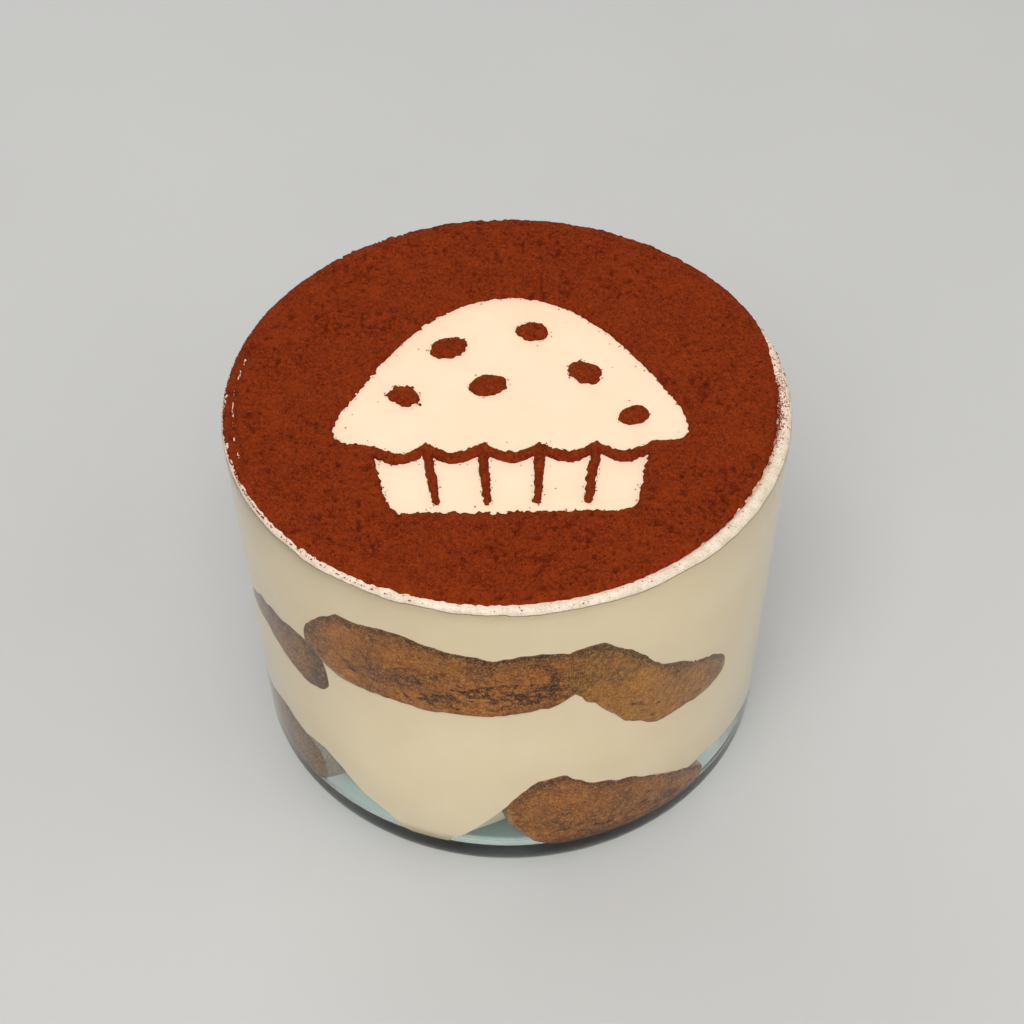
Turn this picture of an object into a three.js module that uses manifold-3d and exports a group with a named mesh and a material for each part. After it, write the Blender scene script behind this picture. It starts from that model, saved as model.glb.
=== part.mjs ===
// A glass of tiramisu: a tapered tumbler filled to its rim with two layers of sponge fingers, two of
// mascarpone cream and a dusting of cocoa, which leaves a muffin motif bare. Millimetres, +Z up, with
// the origin at the middle of the glass's foot. A bearing is an angle round the glass in degrees, from
// the front (-Y) towards the right (+X).
import * as THREE from "three";
import { mergeVertices } from "three/addons/utils/BufferGeometryUtils.js";
import Module from "manifold-3d";

const wasm = await Module();
wasm.setup();

// Driving dimensions.
const GLASS_HEIGHT = 65;
const RIM_RADIUS = 43; // outside, at the top
const TAPER = 3; // how much narrower the straight wall is at the foot, in radius
const WALL = 2.4;
const FLOOR = 5; // thickness of the glass's bottom
const HEEL_RADIUS = 6.5; // outside bottom corner
const CORNER_RADIUS = 3.2; // inside bottom corner
const GAP = 0.3; // between touching pieces
const CREAM_TOP = 64.4;
const COCOA_TOP = 65.9;
const FINGER_DEPTH = 23; // how far a sponge finger reaches in from the wall

// Fineness of the facets.
const ROUND_STEPS = 54;
const FINGER_STATIONS = 9;
const FINGER_RING = 12;
const CORNER_STEPS = 4;

const WALL_ANGLE = Math.atan2(TAPER, GLASS_HEIGHT);

// ---- Solids ---------------------------------------------------------------------------------------

// A closed geometry as a manifold-3d solid, turned right side out.
function solidOf(geometry) {
  const bare = geometry.clone();
  bare.deleteAttribute("normal");
  bare.deleteAttribute("uv");
  const merged = mergeVertices(bare, 1e-4);
  const triangles = [];
  const index = merged.index.array;
  for (let i = 0; i < index.length; i += 3) {
    const [a, b, c] = [index[i], index[i + 1], index[i + 2]];
    if (a !== b && b !== c && c !== a) triangles.push([a, b, c]);
  }
  const make = (list) =>
    new wasm.Manifold(
      new wasm.Mesh({
        numProp: 3,
        vertProperties: merged.attributes.position.array,
        triVerts: new Uint32Array(list.flat()),
      }),
    );
  const made = make(triangles);
  return made.volume() < 0 ? make(triangles.map(([a, b, c]) => [a, c, b])) : made;
}

function geometryOf(solid) {
  const mesh = solid.getMesh();
  const geometry = new THREE.BufferGeometry();
  geometry.setAttribute("position", new THREE.BufferAttribute(mesh.vertProperties, 3));
  geometry.setIndex(new THREE.BufferAttribute(mesh.triVerts, 1));
  return geometry;
}

// A solid of revolution about Z from (radius, height) points that start and end on the axis.
function turned(profile, steps = ROUND_STEPS) {
  return solidOf(new THREE.LatheGeometry(profile, steps).rotateX(Math.PI / 2));
}

// A flat outline in plan, from one height to another.
function plate(shape, bottom, top, curveSegments = 12) {
  const options = { depth: top - bottom, bevelEnabled: false, curveSegments };
  return solidOf(new THREE.ExtrudeGeometry(shape, options).translate(0, 0, bottom));
}

// A closed surface through rings of points that shrink to a point at both ends.
function lofted(start, rings, end) {
  const points = [start, ...rings.flat(), end];
  const size = rings[0].length;
  const last = points.length - 1;
  const faces = [];
  const at = (ring, i) => 1 + ring * size + (i % size);
  for (let i = 0; i < size; i++) {
    faces.push(0, at(0, i + 1), at(0, i));
    for (let ring = 0; ring + 1 < rings.length; ring++) {
      faces.push(at(ring, i), at(ring, i + 1), at(ring + 1, i));
      faces.push(at(ring, i + 1), at(ring + 1, i + 1), at(ring + 1, i));
    }
    faces.push(last, at(rings.length - 1, i), at(rings.length - 1, i + 1));
  }
  const geometry = new THREE.BufferGeometry().setFromPoints(points);
  return solidOf(geometry.setIndex(faces));
}

const radians = THREE.MathUtils.degToRad;

// Straight-line interpolation of the rows [x, y1, y2, ...] at x.
function along(rows, x) {
  if (x <= rows[0][0]) return rows[0].slice(1);
  for (let i = 1; i < rows.length; i++) {
    const [before, after] = [rows[i - 1], rows[i]];
    if (x <= after[0]) {
      const share = (x - before[0]) / (after[0] - before[0]);
      return before.slice(1).map((y, k) => y + share * (after[k + 1] - y));
    }
  }
  return rows.at(-1).slice(1);
}

// A cut can leave crumbs beside the piece itself: the piece without them.
function largest(solid) {
  return solid.decompose().reduce((best, body) => (body.volume() > best.volume() ? body : best));
}

// ---- Glass ----------------------------------------------------------------------------------------

function arc(x, z, radius, from, to, steps) {
  return Array.from({ length: steps + 1 }, (_, i) => {
    const angle = from + ((to - from) * i) / steps;
    return new THREE.Vector2(x + radius * Math.cos(angle), z + radius * Math.sin(angle));
  });
}

// Radius of the line that runs at a depth inside the outer wall, at a height.
function wallRadius(depth, height) {
  const taper = (height * Math.sin(WALL_ANGLE) - depth) / Math.cos(WALL_ANGLE);
  return RIM_RADIUS - TAPER + taper;
}

// The bottom corner of the outline that lies at a depth inside the wall and a height above the foot.
function bottomCorner(depth, height, radius) {
  const middle = height + radius;
  const centre = wallRadius(depth + radius, middle);
  return arc(centre, middle, radius, -Math.PI / 2, -WALL_ANGLE, CORNER_STEPS);
}

function glass() {
  const lip = WALL / 2;
  const lipMiddle = GLASS_HEIGHT - lip;
  return turned([
    new THREE.Vector2(0, 0),
    ...bottomCorner(0, 0, HEEL_RADIUS),
    ...arc(wallRadius(lip, lipMiddle), lipMiddle, lip, -WALL_ANGLE, Math.PI - WALL_ANGLE, 5),
    ...bottomCorner(WALL, FLOOR, CORNER_RADIUS).reverse(),
    new THREE.Vector2(0, FLOOR),
  ]);
}

// The room inside the glass up to a height, kept clear of the glass by a gap.
function room(top, gap = GAP) {
  const depth = WALL + gap;
  return turned([
    new THREE.Vector2(0, FLOOR + gap),
    ...bottomCorner(depth, FLOOR + gap, CORNER_RADIUS - gap),
    new THREE.Vector2(wallRadius(depth, top), top),
    new THREE.Vector2(0, top),
  ]);
}

// ---- Sponge fingers -------------------------------------------------------------------------------

// Each finger lies along the wall and faces it at a bearing. Its side is given by rows of [distance
// along the finger, height of its middle, thickness] and it reaches in from the wall by its depth.
// The soaked sponge lies against the glass, so the wall trims its outer side. slope is the rise
// towards the wall, for one that sags towards the middle of the glass.
const FLOOR_MIDDLE = FLOOR + GAP;
const UPPER_FINGERS = {
  biscuit_upper_centre: {
    bearing: -16.5,
    side: [[-21, 46.5, 14], [-14, 46.7, 16.5], [-5, 47.6, 16.4], [4, 46.6, 14.6], [9, 46.2, 13.6],
      [21, 48.5, 15]],
  },
  biscuit_upper_right: {
    bearing: 31.5,
    side: [[-14.5, 50, 12], [-9, 47.2, 15.5], [-4.5, 42, 17.5], [1, 37, 14], [6, 35.4, 11],
      [14.5, 32.8, 7]],
  },
  biscuit_upper_left: {
    bearing: -58.5,
    side: [[-11.5, 37.6, 4], [-4, 39, 6.5], [1, 38.6, 10.5], [6, 38, 12.5], [11.5, 38, 12]],
    depth: 54,
    slope: 0.14,
  },
  biscuit_upper_back_right: {
    bearing: 127,
    side: [[-21, 40, 10], [-12, 42, 13.5], [0, 43.5, 15], [10, 43, 13.5], [21, 41, 11]],
  },
  biscuit_upper_back_left: {
    bearing: -148,
    side: [[-20, 46, 10], [-9, 45.5, 14.5], [3, 44, 14], [12, 42, 12.5], [20, 39.5, 10]],
  },
};
const LOWER_FINGERS = {
  biscuit_lower_right: {
    bearing: 23.5,
    side: [[-16, 15, 11], [-12, 15, 18], [-8, 14.8, 20], [-4, 12.4, 16], [5, 11, 12.5],
      [10.5, 9.4, 9.2], [16.5, 8, 6]],
  },
  biscuit_lower_left: {
    bearing: -76,
    side: [[-19, 9.5, 9], [-8, 10, 10.5], [2, 10, 10.4], [8, 11, 12.4], [18, 11, 12.5]],
  },
  biscuit_lower_back_right: {
    bearing: 112,
    side: [[-18, 9.5, 9], [-7, 11.5, 13.5], [6, 12, 14.5], [18, 10, 10]],
  },
  biscuit_lower_back_left: {
    bearing: -163,
    side: [[-19, 10, 10], [-8, 11, 13], [5, 11.5, 13], [19, 10, 9.5]],
  },
};
const WALL_OVERREACH = 5; // the finger's uncut side would stand this far past the wall
const SECTION_POWER = 3.4; // squareness of a finger's section
const END_POWER = 3.2; // bluntness of its ends

function superellipse(angle, power) {
  const bend = (value) => Math.sign(value) * Math.abs(value) ** (2 / power);
  return [bend(Math.cos(angle)), bend(Math.sin(angle))];
}

// A finger before the wall and its neighbours trim it, grown by a margin on every side.
function wholeFinger({ bearing, side, depth = FINGER_DEPTH, slope = 0 }, grow = 0) {
  const [left, right] = [side[0][0] - grow, side.at(-1)[0] + grow];
  const outer = RIM_RADIUS - WALL + WALL_OVERREACH;
  const reach = (depth + WALL_OVERREACH) / 2 + grow;
  const middle = outer + grow - reach;
  const ringAt = (share) => {
    const x = (left + right) / 2 - ((right - left) / 2) * Math.cos(Math.PI * share);
    const fullness = (1 - Math.abs(Math.cos(Math.PI * share)) ** END_POWER) ** (1 / END_POWER);
    const [height, thickness] = along(side, x);
    return Array.from({ length: FINGER_RING }, (_, i) => {
      const [across, up] = superellipse((2 * Math.PI * i) / FINGER_RING, SECTION_POWER);
      const inwards = -(middle + reach * fullness * across);
      const z = height + (thickness / 2 + grow) * fullness * up + slope * (-inwards - outer);
      return new THREE.Vector3(x, inwards, z);
    });
  };
  const rings = [];
  for (let i = 1; i < FINGER_STATIONS; i++) rings.push(ringAt(i / FINGER_STATIONS));
  const tip = (x) => new THREE.Vector3(x, -middle, along(side, x)[0] + slope * (middle - outer));
  const turn = (p) => p.applyAxisAngle(new THREE.Vector3(0, 0, 1), radians(bearing));
  return lofted(turn(tip(left)), rings.map((ring) => ring.map(turn)), turn(tip(right)));
}

// A layer of fingers, each trimmed by the glass and by those laid before it.
function layOut(fingers, space) {
  const laid = {};
  const grown = [];
  for (const [name, finger] of Object.entries(fingers)) {
    const trimmed = space.intersect(wholeFinger(finger));
    laid[name] = largest(grown.reduce((rest, other) => rest.subtract(other), trimmed));
    grown.push(wholeFinger(finger, GAP));
  }
  return { laid, grown };
}

// ---- Cream ----------------------------------------------------------------------------------------

// Where the cream hangs over a hollow between the lower fingers, the glass shows clear. Each row is
// [bearing, height of the hollow at the wall, depth of the hollow along the floor].
const HOLLOWS = [
  [[-53, 11.5, 13], [-47, 11.8, 12], [-42, 9.8, 10], [-36, 6, 8], [-29, 3.6, 6], [-25, 1, 3]],
  [[-15, 1, 3], [-10.5, 4.2, 6], [-4, 9.5, 9], [1, 14, 11], [4, 15.5, 12], [9, 15.5, 12]],
  [[41, 5, 6], [48, 6, 7], [60, 4.2, 6], [74, 2.8, 4], [84, 1, 3]],
  [[137, 9, 9], [143, 8, 8], [150, 5, 6], [160, 1, 3]],
  [[-130, 1, 3], [-118, 4, 6], [-106, 7, 8], [-98, 8, 9]],
];
const HOLLOW_STEPS = 3;
const BELOW = 4; // how far a cutting solid runs past what it cuts

function hollow(rows) {
  const sectionAt = ([bearing, height, depth]) => {
    const wall = wallRadius(WALL, FLOOR);
    const inner = wall - depth;
    const curve = Array.from({ length: HOLLOW_STEPS + 1 }, (_, i) => {
      const angle = (Math.PI / 2) * (i / HOLLOW_STEPS);
      return [inner + (depth - 1) * Math.sin(angle), FLOOR + height * (1 - Math.cos(angle))];
    });
    const past = wall + BELOW;
    const outline = [[inner, FLOOR - BELOW], ...curve, [past, FLOOR + height], [past, FLOOR - BELOW]];
    const angle = radians(bearing);
    return outline.map(([r, z]) => new THREE.Vector3(r * Math.sin(angle), -r * Math.cos(angle), z));
  };
  const rings = rows.map(sectionAt);
  const total = (ring) => ring.reduce((sum, p) => sum.add(p), new THREE.Vector3());
  const centre = (ring) => total(ring).divideScalar(ring.length);
  return lofted(centre(rings[0]), rings, centre(rings.at(-1)));
}

// The two creams part halfway up the upper fingers: the height of the parting at a point in plan is
// the mean of the fingers' own heights, weighted by how near each one is.
const PARTING_RINGS = 4;
const PARTING_STEPS = 24;

function partingHeight(x, y) {
  let [sum, weights] = [0, 0];
  for (const { bearing, side } of Object.values(UPPER_FINGERS)) {
    const angle = radians(bearing);
    const near = RIM_RADIUS - WALL - FINGER_DEPTH / 2;
    const away = Math.hypot(x - near * Math.sin(angle), y + near * Math.cos(angle));
    const weight = 1 / (away * away + FINGER_DEPTH * FINGER_DEPTH);
    sum += weight * along(side, 0)[0];
    weights += weight;
  }
  return sum / weights;
}

// Everything below the parting, shifted up or down.
function belowParting(shift) {
  const reach = RIM_RADIUS + BELOW;
  const rings = [];
  const place = (radius, i, z) => {
    const angle = (2 * Math.PI * i) / PARTING_STEPS;
    const [x, y] = [radius * Math.cos(angle), radius * Math.sin(angle)];
    return new THREE.Vector3(x, y, z === undefined ? partingHeight(x, y) + shift : z);
  };
  const ring = (radius, z) => Array.from({ length: PARTING_STEPS }, (_, i) => place(radius, i, z));
  rings.push(ring(reach, -BELOW));
  for (let i = PARTING_RINGS; i > 0; i--) rings.push(ring((reach * i) / PARTING_RINGS));
  return lofted(new THREE.Vector3(0, 0, -BELOW), rings, place(0, 0));
}

function creams(grownLower, grownUpper) {
  const cut = (solid, tools) => tools.reduce((rest, tool) => rest.subtract(tool), solid);
  const all = cut(room(CREAM_TOP), [...grownLower, ...grownUpper, ...HOLLOWS.map(hollow)]);
  return {
    cream_lower: largest(all.intersect(belowParting(-GAP / 2))),
    cream_upper: largest(all.subtract(belowParting(GAP / 2))),
  };
}

// ---- Cocoa ----------------------------------------------------------------------------------------

// The muffin that the stencil keeps bare, in plan.
const MOTIF = {
  middle: 0.6, // how far it sits right of the glass's axis
  top: 23.7,
  bottom: -23.3,
  halfWidth: 26.8,
  widest: -7,
  caseTop: 21,
  caseBottom: 18.4,
  hem: -8.8, // where the crown meets the scalloped line
  scallops: 5,
  scallopDrop: 2.2,
  line: 2.1, // width of the cocoa lines
};
// [x, y, half length, half width, turn in degrees] of the chips on the crown.
const CHIPS = [
  [-9.5, 12.2, 2.9, 2.1, 25],
  [3.6, 15.6, 2.6, 2.0, -15],
  [-16.2, 1.6, 2.7, 2.0, -30],
  [-3.4, 3.6, 3.0, 2.2, 8],
  [11.4, 6.2, 2.9, 2.1, -35],
  [18.4, -3.4, 2.5, 1.9, 20],
];
const COCOA_BOTTOM = CREAM_TOP + GAP;

// How far out the cocoa lies: across the back of the rim, and short of it at the right.
function cocoaEdge(bearing) {
  const a = radians(bearing);
  return 41.9 - 0.6 * Math.cos(a) - 1.02 * Math.sin(a) + 0.41 * Math.cos(2 * a);
}

function hemHeight(x) {
  const wave = Math.sin((Math.PI * MOTIF.scallops * (x + MOTIF.caseTop)) / (2 * MOTIF.caseTop));
  return MOTIF.hem - MOTIF.scallopDrop * Math.abs(wave);
}

// Points of the scalloped hem from one x to another, lowered by an amount.
function hemPoints(from, to, lowered) {
  const steps = MOTIF.scallops * 5;
  return Array.from({ length: steps + 1 }, (_, i) => {
    const x = from + ((to - from) * i) / steps;
    return new THREE.Vector2(MOTIF.middle + x, hemHeight(x) - lowered);
  });
}

function crownShape() {
  const { middle, top, halfWidth, widest, caseTop, hem } = MOTIF;
  const shape = new THREE.Shape(hemPoints(-caseTop, caseTop, 0));
  const bulge = halfWidth + 1;
  const flank = halfWidth - 1.2;
  const at = (side, x) => middle + side * x;
  shape.bezierCurveTo(at(1, 25.6), hem - 1, at(1, bulge), widest - 1, at(1, flank), widest + 5);
  shape.bezierCurveTo(at(1, 20), 9, at(1, 12), top, middle, top);
  shape.bezierCurveTo(at(-1, 12), top, at(-1, 20), 9, at(-1, flank), widest + 5);
  shape.bezierCurveTo(at(-1, bulge), widest - 1, at(-1, 25.6), hem - 1, at(-1, caseTop), hem);
  return shape;
}

function caseShape() {
  const { middle, bottom, caseTop, caseBottom, line } = MOTIF;
  const corner = 3;
  const inset = 0.8; // the case is a little narrower than the hem above it
  const shape = new THREE.Shape(hemPoints(inset - caseTop, caseTop - inset, line));
  shape.lineTo(middle + caseBottom, bottom + corner);
  shape.quadraticCurveTo(middle + caseBottom - 0.5, bottom, middle + caseBottom - corner, bottom);
  shape.lineTo(middle - caseBottom + corner, bottom);
  shape.quadraticCurveTo(middle - caseBottom + 0.5, bottom, middle - caseBottom, bottom + corner);
  return shape;
}

// The pleats of the case hang from the cusps between the scallops and stop short of its bottom.
function pleatShapes() {
  const { middle, bottom, caseTop, caseBottom, hem, line, scallops } = MOTIF;
  return Array.from({ length: scallops - 1 }, (_, i) => {
    const top = caseTop * ((2 * (i + 1)) / scallops - 1);
    const foot = top * (caseBottom / caseTop);
    const [wide, narrow] = [line * 0.42, line * 0.3];
    const shape = new THREE.Shape();
    shape.moveTo(middle + top - wide, hem - line / 2);
    shape.lineTo(middle + foot - narrow, bottom + 2.6);
    shape.quadraticCurveTo(middle + foot, bottom + 1.6, middle + foot + narrow, bottom + 2.6);
    shape.lineTo(middle + top + wide, hem - line / 2);
    return shape;
  });
}

function cocoaLayer() {
  const disc = new THREE.Shape();
  disc.absarc(0, 0, wallRadius(WALL + GAP, COCOA_BOTTOM), 0, 2 * Math.PI);
  const onRim = new THREE.Shape(
    Array.from({ length: ROUND_STEPS }, (_, i) => {
      const bearing = (360 * i) / ROUND_STEPS;
      const radius = cocoaEdge(bearing);
      return new THREE.Vector2(radius * Math.sin(radians(bearing)), -radius * Math.cos(radians(bearing)));
    }),
  );
  let layer = plate(disc, COCOA_BOTTOM, COCOA_TOP, ROUND_STEPS / 2);
  layer = layer.add(plate(onRim, GLASS_HEIGHT + GAP, COCOA_TOP));
  for (const opening of [crownShape(), caseShape()]) {
    layer = layer.subtract(plate(opening, COCOA_BOTTOM - 1, COCOA_TOP + 1, 6));
  }
  for (const pleat of pleatShapes()) layer = layer.add(plate(pleat, COCOA_BOTTOM, COCOA_TOP, 4));
  return layer;
}

function cocoaChip([x, y, halfLength, halfWidth, turn]) {
  const outline = new THREE.Shape();
  outline.absellipse(MOTIF.middle + x, y, halfLength, halfWidth, 0, 2 * Math.PI, false, radians(turn));
  return plate(outline, COCOA_BOTTOM, COCOA_TOP, 9);
}

// ---- The whole --------------------------------------------------------------------------------------

const materials = {
  glass: new THREE.MeshStandardMaterial({
    color: 0xf4faf8,
    roughness: 0.03,
    metalness: 0,
    transparent: true,
    opacity: 0.25,
  }),
  cream: new THREE.MeshStandardMaterial({ color: 0xe9d8bb, roughness: 0.55, metalness: 0 }),
  biscuit: new THREE.MeshStandardMaterial({ color: 0x8a5c34, roughness: 0.8, metalness: 0 }),
  cocoa: new THREE.MeshStandardMaterial({ color: 0x7c2e12, roughness: 0.95, metalness: 0 }),
};

const tiramisu = new THREE.Group();

function place(name, solid, material) {
  const mesh = new THREE.Mesh(geometryOf(solid), material);
  mesh.name = name;
  tiramisu.add(mesh);
}

const lower = layOut(LOWER_FINGERS, room(CREAM_TOP));
const upper = layOut(UPPER_FINGERS, room(CREAM_TOP));
const layers = creams(lower.grown, upper.grown);

place("glass", glass(), materials.glass);
for (const [name, solid] of Object.entries(lower.laid)) place(name, solid, materials.biscuit);
for (const [name, solid] of Object.entries(upper.laid)) place(name, solid, materials.biscuit);
for (const [name, solid] of Object.entries(layers)) place(name, solid, materials.cream);
place("cocoa_layer", cocoaLayer(), materials.cocoa);
CHIPS.forEach((chip, i) => place(`cocoa_chip_${i + 1}`, cocoaChip(chip), materials.cocoa));

export default tiramisu;
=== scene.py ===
import math
from types import SimpleNamespace

import bpy
import numpy as np
from mathutils import Matrix, Vector
from mathutils.geometry import delaunay_2d_cdt


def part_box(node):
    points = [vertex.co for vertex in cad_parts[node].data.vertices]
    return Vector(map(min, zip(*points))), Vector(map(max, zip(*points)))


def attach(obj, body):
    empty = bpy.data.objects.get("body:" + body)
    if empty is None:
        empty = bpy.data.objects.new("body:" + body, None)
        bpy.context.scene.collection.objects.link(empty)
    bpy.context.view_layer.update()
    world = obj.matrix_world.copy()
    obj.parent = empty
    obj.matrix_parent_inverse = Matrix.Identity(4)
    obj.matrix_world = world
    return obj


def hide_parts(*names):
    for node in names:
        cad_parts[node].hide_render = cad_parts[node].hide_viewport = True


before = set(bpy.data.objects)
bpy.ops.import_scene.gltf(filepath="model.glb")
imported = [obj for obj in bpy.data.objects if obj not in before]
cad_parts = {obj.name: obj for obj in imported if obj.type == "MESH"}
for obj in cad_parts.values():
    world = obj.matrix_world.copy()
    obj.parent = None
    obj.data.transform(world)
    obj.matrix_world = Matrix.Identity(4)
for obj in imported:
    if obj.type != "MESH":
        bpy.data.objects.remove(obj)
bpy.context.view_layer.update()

# Looks of a glass of tiramisu. Shapes are worked out in millimetres, in the CAD part's frame, and
# turned into metres when a mesh is made. A bearing is an angle round the glass in degrees, from the
# front (-Y) towards the right (+X).
MM = 0.001

# ---- Sizes, as in the CAD part ----

GLASS_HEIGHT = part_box("glass")[1].z / MM
RIM_RADIUS = 43.0
TAPER = 3.0
WALL = 2.4
FLOOR = 5.0
HEEL_RADIUS = 6.5
CORNER_RADIUS = 3.2
LIP_RADIUS = WALL / 2
LIP_MIDDLE = GLASS_HEIGHT - LIP_RADIUS
CREAM_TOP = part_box("cream_upper")[1].z / MM
COCOA_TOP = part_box("cocoa_layer")[1].z / MM
FINGER_DEPTH = 23.0
WALL_ANGLE = math.atan2(TAPER, GLASS_HEIGHT)

# How far the cream reaches into the glass's wall, so that no air shows between them. The fingers
# reach further, so where the two meet at the wall, it is the finger that shows.
CREAM_REACH = 0.08

# ---- Noise and small mathematics ----


def hashed(ix, iy, iz, seed):
    """A repeatable number from -1 to 1 for each lattice point."""
    with np.errstate(over="ignore"):
        h = ix.astype(np.uint32) * np.uint32(73856093)
        h ^= iy.astype(np.uint32) * np.uint32(19349663)
        h ^= iz.astype(np.uint32) * np.uint32(83492791)
        h ^= np.uint32(seed * 2654435 % 4294967296)
        h = (h ^ (h >> np.uint32(15))) * np.uint32(2246822519)
        h = (h ^ (h >> np.uint32(13))) * np.uint32(3266489917)
        h ^= h >> np.uint32(16)
    return h.astype(np.float64) / 2147483647.5 - 1


def noise(x, y, z, size, seed, octaves=1):
    """Smooth noise from -1 to 1 whose largest lumps are about size across."""
    x, y, z = np.broadcast_arrays(x, y, z)
    total, weight, scale = 0.0, 0.0, 1.0
    for octave in range(octaves):
        p = [axis * scale / size + 37.7 * (octave + 1) for axis in (x, y, z)]
        low = [np.floor(axis).astype(np.int64) for axis in p]
        t = [a - b for a, b in zip(p, low)]
        t = [a * a * (3 - 2 * a) for a in t]
        value = 0.0
        for corner in range(8):
            pick = [(corner >> k) & 1 for k in range(3)]
            share = 1.0
            for k in range(3):
                share = share * (t[k] if pick[k] else 1 - t[k])
            at = [a + b for a, b in zip(low, pick)]
            value = value + share * hashed(at[0], at[1], at[2], seed + octave)
        total = total + value / scale
        weight += 1 / scale
        scale *= 2
    return total / weight * 1.6


def smooth(value, low, high):
    """0 below low, 1 above high, and a smooth step between."""
    t = np.clip((value - low) / (high - low), 0, 1)
    return t * t * (3 - 2 * t)


def srgb(red, green, blue):
    """A linear colour from display values out of 255."""
    share = np.array([red, green, blue], float) / 255
    return np.where(share <= 0.04045, share / 12.92, ((share + 0.055) / 1.055) ** 2.4)


def wall_radius(depth, height):
    """Radius of the line that runs at a depth inside the outer wall, at a height."""
    return RIM_RADIUS - TAPER + (height * math.sin(WALL_ANGLE) - depth) / math.cos(WALL_ANGLE)


LIP_CENTRE = wall_radius(LIP_RADIUS, LIP_MIDDLE)


def room_radius(height, reach):
    """Radius of the inside of the glass at a height, moved into the glass by reach."""
    radius = CORNER_RADIUS + reach
    middle = FLOOR + CORNER_RADIUS
    centre = wall_radius(WALL + CORNER_RADIUS, middle)
    below = np.clip(middle - height, 0, radius)
    corner = centre + np.sqrt(radius**2 - below**2)
    tangent = middle - radius * math.sin(WALL_ANGLE)
    return np.where(height < tangent, corner, wall_radius(WALL - reach, height))


def lip_height(radius):
    """Height of the rounded lip at a radius, and far below it elsewhere."""
    off = radius - LIP_CENTRE
    inside = np.clip(LIP_RADIUS**2 - off**2, 0, None)
    return np.where(np.abs(off) < LIP_RADIUS, LIP_MIDDLE + np.sqrt(inside), 0.0)


# ---- Meshes ----


def put(name, data):
    """An object in the scene."""
    made = bpy.data.objects.new(name, data)
    bpy.context.scene.collection.objects.link(made)
    return made


def make_mesh(name, points, faces, material, smooth_shaded=True):
    """A mesh object from points in millimetres."""
    mesh = bpy.data.meshes.new(name)
    points = np.asarray(points, float) * MM
    if isinstance(faces, np.ndarray):
        mesh.vertices.add(len(points))
        mesh.vertices.foreach_set("co", points.astype(np.float32).ravel())
        mesh.loops.add(faces.size)
        mesh.loops.foreach_set("vertex_index", faces.astype(np.int32).ravel())
        mesh.polygons.add(len(faces))
        starts = np.arange(0, faces.size, faces.shape[1], dtype=np.int32)
        mesh.polygons.foreach_set("loop_start", starts)
        mesh.update(calc_edges=True)
        mesh.validate()
    else:
        mesh.from_pydata([tuple(p) for p in points], [], faces)
    if smooth_shaded:
        mesh.shade_smooth()
    mesh.materials.append(material)
    return put(name, mesh)


def paint(made, name, values):
    """Stores a number or a colour for each vertex, for the material to read."""
    kind, key = "FLOAT", "value"
    if values.ndim == 2:
        values = np.insert(values, 3, 1, axis=1)
        kind, key = "FLOAT_COLOR", "color"
    made.data.attributes.new(name, kind, "POINT").data.foreach_set(key, values.astype(np.float32).ravel())


def settle(made, slot, *nodes):
    """Puts a finished piece in the frame, in place of its CAD nodes."""
    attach(made, "root")
    if nodes:
        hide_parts(*nodes)


def polar(radius, bearing):
    """x and y of a point at a radius and a bearing in degrees."""
    angle = np.radians(bearing)
    return radius * np.sin(angle), -radius * np.cos(angle)


def turned(x, y, angle):
    """x and y turned by an angle in degrees."""
    c, s = math.cos(math.radians(angle)), math.sin(math.radians(angle))
    return x * c - y * s, x * s + y * c


def ring(radius, bearings, height):
    """Points round the axis, at radii and heights that may differ with the bearing."""
    x, y = polar(radius, bearings)
    return np.stack([x, y, height + 0 * x], 1)


def ring_faces(rings, size):
    """Faces between closed rings of size points, laid one after another."""
    first = np.arange(size)
    after = (first + 1) % size
    rows = np.arange(rings - 1)[:, None] * size
    faces = np.stack([rows + first, rows + after, rows + size + after, rows + size + first], -1)
    return faces.reshape(-1, 4)


def rings_to_mesh(name, rings, material, low, high):
    """Closed rings of points joined into a body, with a point on the axis at each end."""
    size = len(rings[0])
    points = np.concatenate(rings + [[[0, 0, low], [0, 0, high]]])
    faces = ring_faces(len(rings), size).tolist()
    first = len(rings) * size
    last = first - size
    for i in range(size):
        j = (i + 1) % size
        faces.append([first, j, i])
        faces.append([first + 1, last + i, last + j])
    return make_mesh(name, points, faces, material)


def neighbours(axis, others=slice(None)):
    """Slices of a grid without its last and without its first layer along an axis."""
    start, end = [others] * 3, [others] * 3
    start[axis], end[axis] = slice(0, -1), slice(1, None)
    return tuple(start), tuple(end)


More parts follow.
